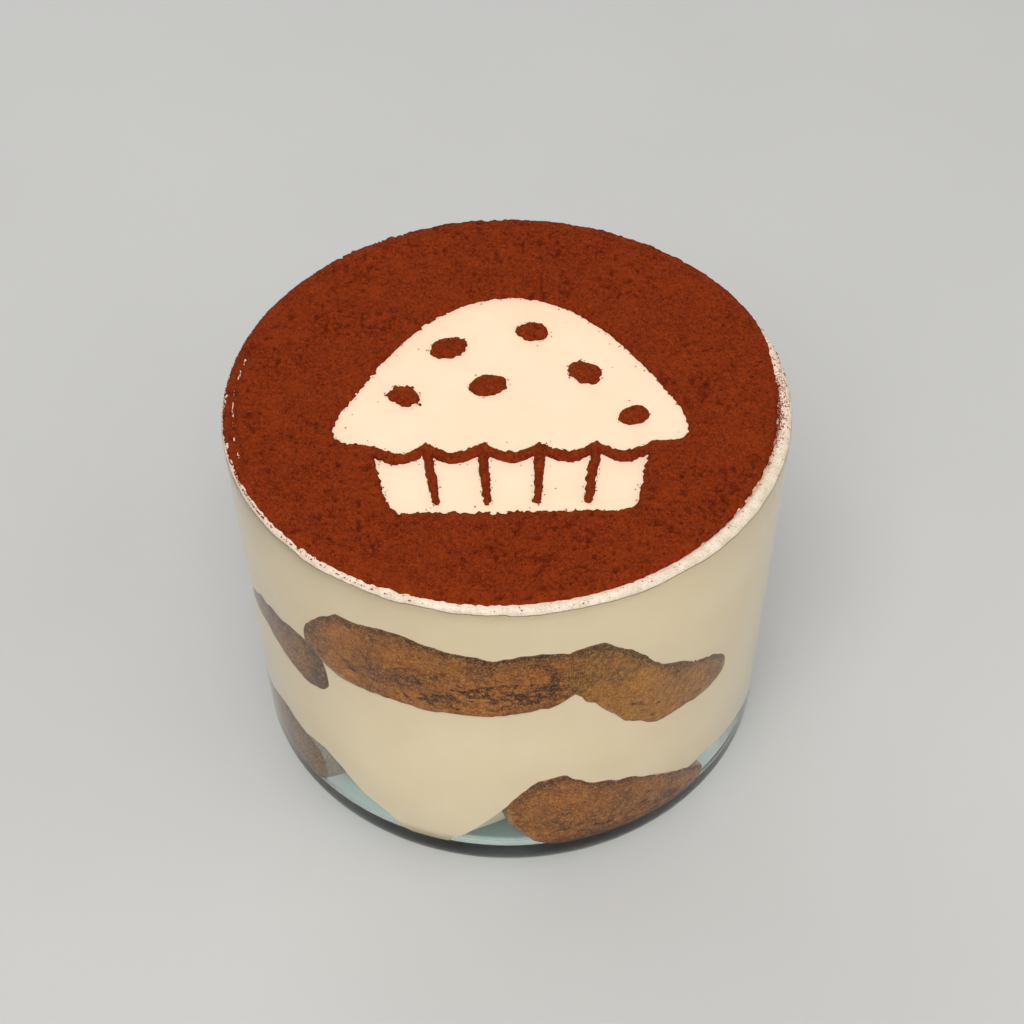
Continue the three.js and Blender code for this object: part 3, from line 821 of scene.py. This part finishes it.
def creams(material):
    """The two layers: each is rings of points over its underside, up its side and over its top."""
    bearings = np.arange(CREAM_STEPS) * 360 / CREAM_STEPS - 180
    parting = parting_height(*polar(WALL_LINE - 1, bearings))
    middle = float(parting_height(0.0, 0.0))
    foot = FLOOR - CREAM_REACH
    # A row of points runs along each side of the hollows' upper edge, so that the edge is clean.
    edge = FLOOR + np.maximum(hollows(bearings, WIDE_ENDS)[0], 0.3)
    rise = [foot + (edge - 0.01 - foot) * share for share in np.linspace(0, 1, 28)]
    rise += [edge + 0.01 + (parting - edge - 0.01) * share for share in np.linspace(0, 1, 50)]
    side = [cream_side(bearings, h) for h in rise]
    rings = [ring(side[0] * t, bearings, foot) for t in (0.3, 0.7)]
    rings += [ring(r, bearings, h) for r, h in zip(side, rise)]
    rings += [parting_ring(side[-1] * t, bearings) for t in (0.9, 0.6, 0.3)]
    settle_cream("lower", rings, material, foot, middle)

    brim = cream_surface(*polar(WALL_LINE - 0.5, bearings))
    rise = [parting + (brim - parting) * share for share in np.linspace(0, 1, 72)]
    side = [cream_side(bearings, h) for h in rise]
    rings = [parting_ring(side[0] * t, bearings) for t in (0.3, 0.6, 0.9)]
    rings += [ring(r, bearings, h) for r, h in zip(side, rise)]
    for t in np.linspace(1, 0.01, 96)[1:]:
        rings.append(ring(side[-1] * t, bearings, cream_surface(*polar(side[-1] * t, bearings))))
    settle_cream("upper", rings, material, middle, float(cream_surface(0.0, 0.0)))


# ---- Cocoa ----

MOTIF = SimpleNamespace(middle=0.6, top=23.7, bottom=-23.3, half_width=26.8, widest=-7.0, hem=-8.8,
                        case_top=21.0, case_bottom=18.4, scallops=5, scallop_drop=2.2, line=2.1)
# [x, y, half length, half width, turn in degrees] of the chips on the crown.
CHIPS = [
    [-9.5, 12.2, 2.9, 2.1, 25],
    [3.6, 15.6, 2.6, 2.0, -15],
    [-16.2, 1.6, 2.7, 2.0, -30],
    [-3.4, 3.6, 3.0, 2.2, 8],
    [11.4, 6.2, 2.9, 2.1, -35],
    [18.4, -3.4, 2.5, 1.9, 20],
]
BEZIER_STEPS = 16
COCOA_STEP = 0.23
COCOA_SUNK = 0.05  # how far the cocoa's flat underside lies under what it is on
WORN_BEARING, WORN_RADIUS, WORN_WIDTH = -86, 41.0, 0.06  # the line worn through the cocoa on the lip

# Rows of [bearing, radius] of the cocoa's outer edge: over the rim at the back and the left, and short
# of it at the right.
COCOA_EDGE = [[-180, 42.8], [-120, 42.7], [-75, 42.5], [-30, 42.1], [0, 41.75], [20, 41.45], [45, 40.9],
              [65, 40.7], [84, 40.7], [92, 40.9], [100, 41.4], [107, 42.1], [116, 42.6], [180, 42.8]]


def cocoa_edge(bearing):
    """How far out the cocoa lies at a bearing."""
    return np.interp((bearing + 180) % 360 - 180, *np.transpose(COCOA_EDGE))


def bezier(p0, p1, p2, p3):
    """Points on a curve, without its first."""
    t = np.linspace(0, 1, BEZIER_STEPS + 1)[1:, None]
    return (1 - t) ** 3 * p0 + 3 * (1 - t) ** 2 * t * p1 + 3 * (1 - t) * t * t * p2 + t**3 * p3


def hem_points(start, end, lowered):
    """The scalloped hem between the crown and the case."""
    m = MOTIF
    x = np.linspace(start, end, m.scallops * 8 + 1)
    wave = np.sin(np.pi * m.scallops * (x + m.case_top) / (2 * m.case_top))
    return np.stack([m.middle + x, m.hem - m.scallop_drop * np.abs(wave) - lowered], 1)


def crown_outline():
    """The muffin's crown: along the hem and back over the top."""
    m = MOTIF
    flank, bulge = m.half_width - 1.2, m.half_width + 1
    half = [(25.6, m.hem - 1), (bulge, m.widest - 1), (flank, m.widest + 5), (20, 9), (12, m.top)]
    right, left = ([(m.middle + side * x, y) for x, y in half] for side in (1, -1))
    hem = hem_points(-m.case_top, m.case_top, 0)
    route = np.array([hem[-1], *right, (m.middle, m.top), *left[::-1], hem[0]])
    return np.concatenate([hem, *(bezier(*route[i:i + 4]) for i in (0, 3, 6, 9))])[:-1]


def case_outline():
    """The muffin's paper case, below the hem."""
    m = MOTIF
    corner, inset = 3.0, 0.8

    def turn(side, order):
        wide = m.case_bottom
        ends = [(wide, m.bottom + corner), (wide - 0.5, m.bottom), (wide - corner, m.bottom)]
        a, b, c = [np.array((m.middle + side * x, y)) for x, y in ends[::order]]
        t = np.linspace(0, 1, 7)[:, None]
        return (1 - t) ** 2 * a + 2 * (1 - t) * t * b + t * t * c

    hem = hem_points(inset - m.case_top, m.case_top - inset, m.line)
    return np.concatenate([hem, turn(1, 1), turn(-1, -1)])


def pleat_outlines():
    """The strokes of cocoa between the case's pleats."""
    m = MOTIF
    outlines = []
    for i in range(m.scallops - 1):
        top = m.case_top * (2 * (i + 1) / m.scallops - 1)
        foot = top * m.case_bottom / m.case_top
        wide, narrow = m.line * 0.42, m.line * 0.3
        t = np.linspace(0, np.pi, 7)
        tip = np.stack([foot - narrow * np.cos(t), m.bottom + 2.6 - 0.8 * np.sin(t)], 1)
        rows = [[top - wide, m.hem - m.line / 2], *tip, [top + wide, m.hem - m.line / 2]]
        outlines.append(np.array(rows) + [m.middle, 0])
    return outlines


def edge_is_right(x, y, a, b):
    """Whether the edge from a to b is to the right of points, level with them."""
    if a[1] == b[1]:
        return np.zeros(x.shape, bool)
    return ((a[1] > y) != (b[1] > y)) & (x < a[0] + (y - a[1]) * (b[0] - a[0]) / (b[1] - a[1]))


def polygon_distance(x, y, outline):
    """Distance from points to a closed outline, negative inside it."""
    best, inside = np.full(x.shape, 1e9), np.zeros(x.shape, bool)
    for a, b in zip(outline, np.roll(outline, -1, 0)):
        ex, ey = b - a
        t = np.clip(((x - a[0]) * ex + (y - a[1]) * ey) / (ex * ex + ey * ey + 1e-12), 0, 1)
        best = np.minimum(best, (x - a[0] - t * ex) ** 2 + (y - a[1] - t * ey) ** 2)
        inside ^= edge_is_right(x, y, a, b)
    return np.where(inside, -1, 1) * np.sqrt(best)


def crumble(x, y):
    """How much a cocoa edge wanders: crumbly on some stretches and clean on others."""
    rough = 0.35 + 0.65 * smooth(noise(x, y, 0.0, 9.0, 31), -0.2, 0.5)
    return rough * (0.25 * noise(x, y, 0.0, 1.1, 32, 2) + 0.3 * noise(x, y, 0.0, 0.55, 33, 1))


def clipped_sheet(x, y, inside):
    """Triangles of a grid, cut off where inside falls to zero: the points, the triangles and which
    points are on the cut."""
    index = np.arange(x.size).reshape(x.shape)
    a, b, c, d = index[:-1, :-1], index[1:, :-1], index[1:, 1:], index[:-1, 1:]
    odd = (sum(np.indices(a.shape)) % 2).astype(bool)[..., None]
    halves = [(a, b, d), (a, b, c)], [(b, c, d), (a, c, d)]
    triangles = [np.where(odd, np.stack(one, -1), np.stack(other, -1)) for one, other in halves]
    triangles = np.concatenate(triangles).reshape(-1, 3)
    value = inside.ravel().copy()
    small = 0.1 * COCOA_STEP
    value[np.abs(value) < small] = small
    points = np.stack([x.ravel(), y.ravel()], 1)
    keep = value > 0
    count = keep[triangles].sum(1)
    whole = triangles[count == 3]
    number_of, cuts, made = {}, [], []

    def on_cut(i, j):
        key = (min(i, j), max(i, j))
        if key not in number_of:
            number_of[key] = len(points) + len(cuts)
            cuts.append(points[i] + value[i] / (value[i] - value[j]) * (points[j] - points[i]))
        return number_of[key]

    for triangle in triangles[(count == 1) | (count == 2)].tolist():
        p, q, r = triangle
        while keep[q] != keep[r]:  # until p is the corner that is alone on its side of the cut
            p, q, r = q, r, p
        pq, pr = on_cut(p, q), on_cut(p, r)
        if keep[p]:
            made.append([p, pq, pr])
        else:
            made.append([pq, q, r])
            made.append([pq, r, pr])
    used, faces = np.unique(np.concatenate([whole, made]), return_inverse=True)
    px, py = np.concatenate([points, cuts])[used].T
    return px, py, faces.reshape(-1, 3), used >= len(points)


def closed_relief(name, x, y, inside, top_of, material):
    """A body of cocoa: a lumpy top over the plan where inside is positive, closed by a flat underside."""
    px, py, faces, cut = clipped_sheet(x, y, inside)
    bottom = ground(px, py) - COCOA_SUNK
    height = np.where(cut, bottom, np.maximum(top_of(px, py), bottom + 0.02))
    edges = np.concatenate([faces[:, [0, 1]], faces[:, [1, 2]], faces[:, [2, 0]]]).tolist()
    known = set(map(tuple, edges))
    rim = [(a, b) for a, b in edges if (b, a) not in known]
    rim_points = sorted({a for a, b in rim})
    place = {point: i for i, point in enumerate(rim_points)}
    flat = [Vector((px[i], py[i])) for i in rim_points]
    found = delaunay_2d_cdt(flat, [(place[a], place[b]) for a, b in rim], [], 0, 1e-6, True)
    original = [rim_points[sources[0]] for sources in found[3]]
    under = np.array([[original[k] for k in face][::-1] for face in found[2]])
    middle_x, middle_y = px[under].mean(1), py[under].mean(1)
    covered = np.zeros(len(under), bool)
    for a, b in rim:
        covered ^= edge_is_right(middle_x, middle_y, (px[a], py[a]), (px[b], py[b]))
    faces = np.concatenate([faces, under[covered]])
    made = make_mesh(name, np.stack([px, py, height], 1), faces, material)
    lumps, gaps = cocoa_relief(px, py)
    # For the material's painted highlight on the lumps and painted shade in the pits and cracks.
    paint(made, "relief_shading", np.clip(0.5 + 1.3 * lumps - 1.5 * gaps, 0, 1))
    return made


def ground(x, y):
    """What the cocoa lies on: the cream, and the rounded lip round it."""
    return np.maximum(cream_surface(x, y), lip_height(np.hypot(x, y)))


def cocoa_relief(x, y):
    """The cocoa's lumps, and the depth of its pits and cracks, which gather on some stretches."""
    lumps = 0.08 * noise(x, y, 0.0, 1.6, 42, 2) + 0.13 * noise(x, y, 0.0, 0.5, 43, 1)
    lumps = lumps + 0.11 * hashed(*(np.floor(v * 997).astype(np.int64) for v in (x, y, 0 * x)), 5)
    active = smooth(noise(x, y, 0.0, 13.0, 44, 2) + 0.45 * smooth(np.hypot(x, y), 18, 34), 0.0, 0.6)
    pits = smooth(noise(x, y, 0.0, 0.7, 45, 1), 0.62, 1.0) * 0.32 * (0.3 + active)
    cracks = np.abs(noise(x + 1.2 * noise(x, y, 0.0, 3.0, 46), y, 0.0, 3.4, 47, 2))
    cracks = smooth(0.07 - cracks, 0.0, 0.06) * smooth(noise(x, y, 0.0, 2.6, 48), 0.15, 0.5) * active * 0.35
    return lumps, pits + cracks


def cocoa_depth(x, y, inside):
    """Depth of the cocoa: full a short way in from its edge, with lumps, pits and cracks."""
    full = 0.98 + 0.1 * noise(x, y, 0.0, 8.0, 41, 2)
    edge = smooth(inside + 0.1 * noise(x, y, 0.0, 0.8, 49), 0.0, 0.75) ** 0.6
    lumps, gaps = cocoa_relief(x, y)
    return np.clip((full + lumps - gaps) * edge, 0.0, None)


def cocoa_plan(x, y):
    """How far inside the layer of cocoa each place is, with the motif left bare."""
    bare = np.minimum(polygon_distance(x, y, crown_outline()), polygon_distance(x, y, case_outline()))
    strokes = np.minimum.reduce([polygon_distance(x, y, outline) for outline in pleat_outlines()])
    bearing, radius = np.degrees(np.arctan2(x, -y)), np.hypot(x, y)
    wander = crumble(x, y)
    inside = np.minimum(np.maximum(bare, -strokes) + wander, cocoa_edge(bearing) - radius + 0.6 * wander)
    # At the left the lip's inner edge shows through as a thin broken line.
    worn = noise(x, y, 0.0, 1.1, 35, 2) - 4 * smooth(np.abs(bearing - WORN_BEARING), 16, 34)
    return np.minimum(inside, np.maximum(np.abs(radius - WORN_RADIUS) - WORN_WIDTH, 0.6 * (0.2 - worn)))


def between(values, px, py):
    """Values of the layer's square grid at places between its points."""
    i, j = (np.clip((p + RIM_RADIUS) / COCOA_STEP, 0, len(values) - 1.001) for p in (px, py))
    i0, j0 = i.astype(int), j.astype(int)
    s, t = i - i0, j - j0
    return (values[i0, j0] * (1 - s) * (1 - t) + values[i0 + 1, j0] * s * (1 - t)
            + values[i0, j0 + 1] * (1 - s) * t + values[i0 + 1, j0 + 1] * s * t)


def cocoa_layer(material):
    """The dusting over the cream and the lip, where it is thinner."""
    axis = np.arange(-RIM_RADIUS, RIM_RADIUS + COCOA_STEP, COCOA_STEP)
    x, y = np.meshgrid(axis, axis, indexing="ij")
    inside = cocoa_plan(x, y)

    def top(px, py):
        depth = cocoa_depth(px, py, between(inside, px, py))
        depth = depth * (1 - 0.68 * smooth(np.hypot(px, py), 39.6, 41.4))
        return np.minimum(ground(px, py) + depth, COCOA_TOP - 0.02)

    settle(closed_relief("cocoa_dusting", x, y, inside, top, material), "cocoa", "cocoa_layer")


def cocoa_chip(number, material):
    """An island of cocoa on the muffin's crown."""
    cx, cy, length, width, turn = CHIPS[number - 1]
    cx += MOTIF.middle
    around = np.arange(-length - 1, length + 1, COCOA_STEP)
    x, y = np.meshgrid(cx + around, cy + around, indexing="ij")

    def inside(px, py):
        u, v = turned(px - cx, py - cy, -turn)
        return (1 - np.sqrt((u / length) ** 2 + (v / width) ** 2)) * width + 1.2 * crumble(px, py)

    def top(px, py):
        return cream_surface(px, py) + 0.9 * cocoa_depth(px, py, inside(px, py))

    name = f"cocoa_chip_{number}"
    settle(closed_relief(name + "_dusting", x, y, inside(x, y), top, material), "cocoa", name)


# ---- Loose grains of cocoa ----

GRAIN_SIZES = (0.07, 0.15)
RIM_TRIES = 10500
GRAIN_REACH = 42.6
RIM_GRAINS = ((87, 10), (-80, 50))  # at the right and the left: bearing of the most, and spread


def stencil_outlines():
    """Every edge of the motif: its own outlines and those of the chips."""
    outlines = [crown_outline(), case_outline(), *pleat_outlines()]
    t = np.linspace(0, 2 * np.pi, 24, endpoint=False)
    for cx, cy, length, width, turn in CHIPS:
        u, v = turned(length * np.cos(t), width * np.sin(t), turn)
        outlines.append(np.stack([MOTIF.middle + cx + u, cy + v], 1))
    return outlines


def grain_spots(rng):
    """Where the grains lie and how big they are: rows of [x, y, radius]."""
    spots = []
    for outline in stencil_outlines():
        ends = np.roll(outline, -1, 0)
        for a, b, span in zip(outline, ends, np.linalg.norm(ends - outline, axis=1)):
            for _ in range(rng.poisson(1.3 * span)):
                off = rng.normal(0, 0.28) + rng.choice([0, 0, 0, rng.normal(0, 1.0)])
                along = (b - a) / max(span, 1e-6)
                p = a + rng.random() * (b - a) + off * np.array([-along[1], along[0]])
                spots.append((p[0], p[1], rng.uniform(*GRAIN_SIZES)))
    for _ in range(RIM_TRIES):  # the bare rim: dense at the right, few at the front
        bearing = rng.uniform(-180, 120)
        right, left = (math.exp(-(((bearing - most) / spread) ** 2)) for most, spread in RIM_GRAINS)
        if rng.random() > 0.014 + 0.95 * right + 0.1 * left:
            continue
        radius = min(cocoa_edge(bearing) + abs(rng.normal(0, 0.75)), GRAIN_REACH)
        px, py = polar(radius, bearing)
        spots.append((float(px), float(py), rng.uniform(*GRAIN_SIZES)))
    return np.array(spots)


def loose_grains(material):
    """Single grains on the cream near the stencil's edges and on the bare rim: uneven octahedra."""
    rng = np.random.default_rng(7)
    x, y, size = grain_spots(rng).T
    unit = np.array([[1, 0, 0], [-1, 0, 0], [0, 1, 0], [0, -1, 0], [0, 0, 1], [0, 0, -1]])
    corners = [[0, 2, 4], [2, 1, 4], [1, 3, 4], [3, 0, 4], [2, 0, 5], [1, 2, 5], [3, 1, 5], [0, 3, 5]]
    shape = unit[None] * rng.uniform(0.6, 1.3, (len(x), 6, 1)) + rng.normal(0, 0.15, (len(x), 6, 3))
    centre = np.stack([x, y, ground(x, y) + 0.4 * size], 1)
    points = centre[:, None] + shape * size[:, None, None]
    faces = (np.arange(len(x))[:, None, None] * 6 + np.array(corners)[None]).reshape(-1, 3)
    made = make_mesh("cocoa_grains", points.reshape(-1, 3), faces, material, smooth_shaded=False)
    settle(made, "cocoa")


# ---- Stage ----

FLOOR_REACH = 4000.0
ROOM_LIGHT = (1.0, 0.985, 0.96, 1.0)
ROOM_POWER = 0.40
LENS = 87.9
CAMERA_PLACE = (0.0, -273.98, 323.25)
CAMERA_TARGET = (0.6, 4.2, 36.4)
CAMERA_ROLL = -0.8


def lamp(name, place, power, width):
    """A square lamp, at a place in metres, that faces the origin."""
    light = bpy.data.lights.new(name, "AREA")
    light.energy, light.size = power, width
    made = put(name, light)
    made.location = place
    made.rotation_euler = (-Vector(place)).to_track_quat("-Z", "Y").to_euler()


def stage_and_camera():
    """A pale floor, a soft room with three lamps, and a camera where the photo was taken from."""
    points = [[x * FLOOR_REACH, y * FLOOR_REACH, 0] for x, y in ((-1, -1), (1, -1), (1, 1), (-1, 1))]
    make_mesh("floor", points, [[0, 1, 2, 3]], floor_material())

    world = bpy.data.worlds.new("soft_room")
    bpy.context.scene.world = world
    world.use_nodes = True
    background = world.node_tree.nodes["Background"]
    background.inputs["Color"].default_value = ROOM_LIGHT
    background.inputs["Strength"].default_value = ROOM_POWER
    lamp("window", (-0.1, -0.58, 1.0), 9.0, 0.7)
    lamp("fill", (0.75, -0.35, 0.75), 1.7, 0.8)
    lamp("rear", (-0.35, 0.85, 0.55), 2.2, 0.8)

    camera = put("camera", bpy.data.cameras.new("camera"))
    bpy.context.scene.camera = camera
    camera.data.lens = LENS
    camera.data.clip_start = 0.01
    camera.location = Vector(CAMERA_PLACE) * MM
    aim = Vector(CAMERA_TARGET) * MM - Vector(CAMERA_PLACE) * MM
    look = aim.to_track_quat("-Z", "Y").to_matrix()
    camera.rotation_euler = (look @ Matrix.Rotation(math.radians(CAMERA_ROLL), 3, "Z")).to_euler()
    bpy.context.scene.view_settings.view_transform = "Standard"


# ---- The whole ----

stage_and_camera()
glass(glass_material())
rim_film(film_material())
crumb_and_shade = biscuit_material()
for number, name in enumerate(FINGERS):
    finger(name, number + 1, crumb_and_shade)
creams(cream_material())
powder = cocoa_material()
cocoa_layer(powder)
for number in range(1, len(CHIPS) + 1):
    cocoa_chip(number, powder)
loose_grains(grain_material())
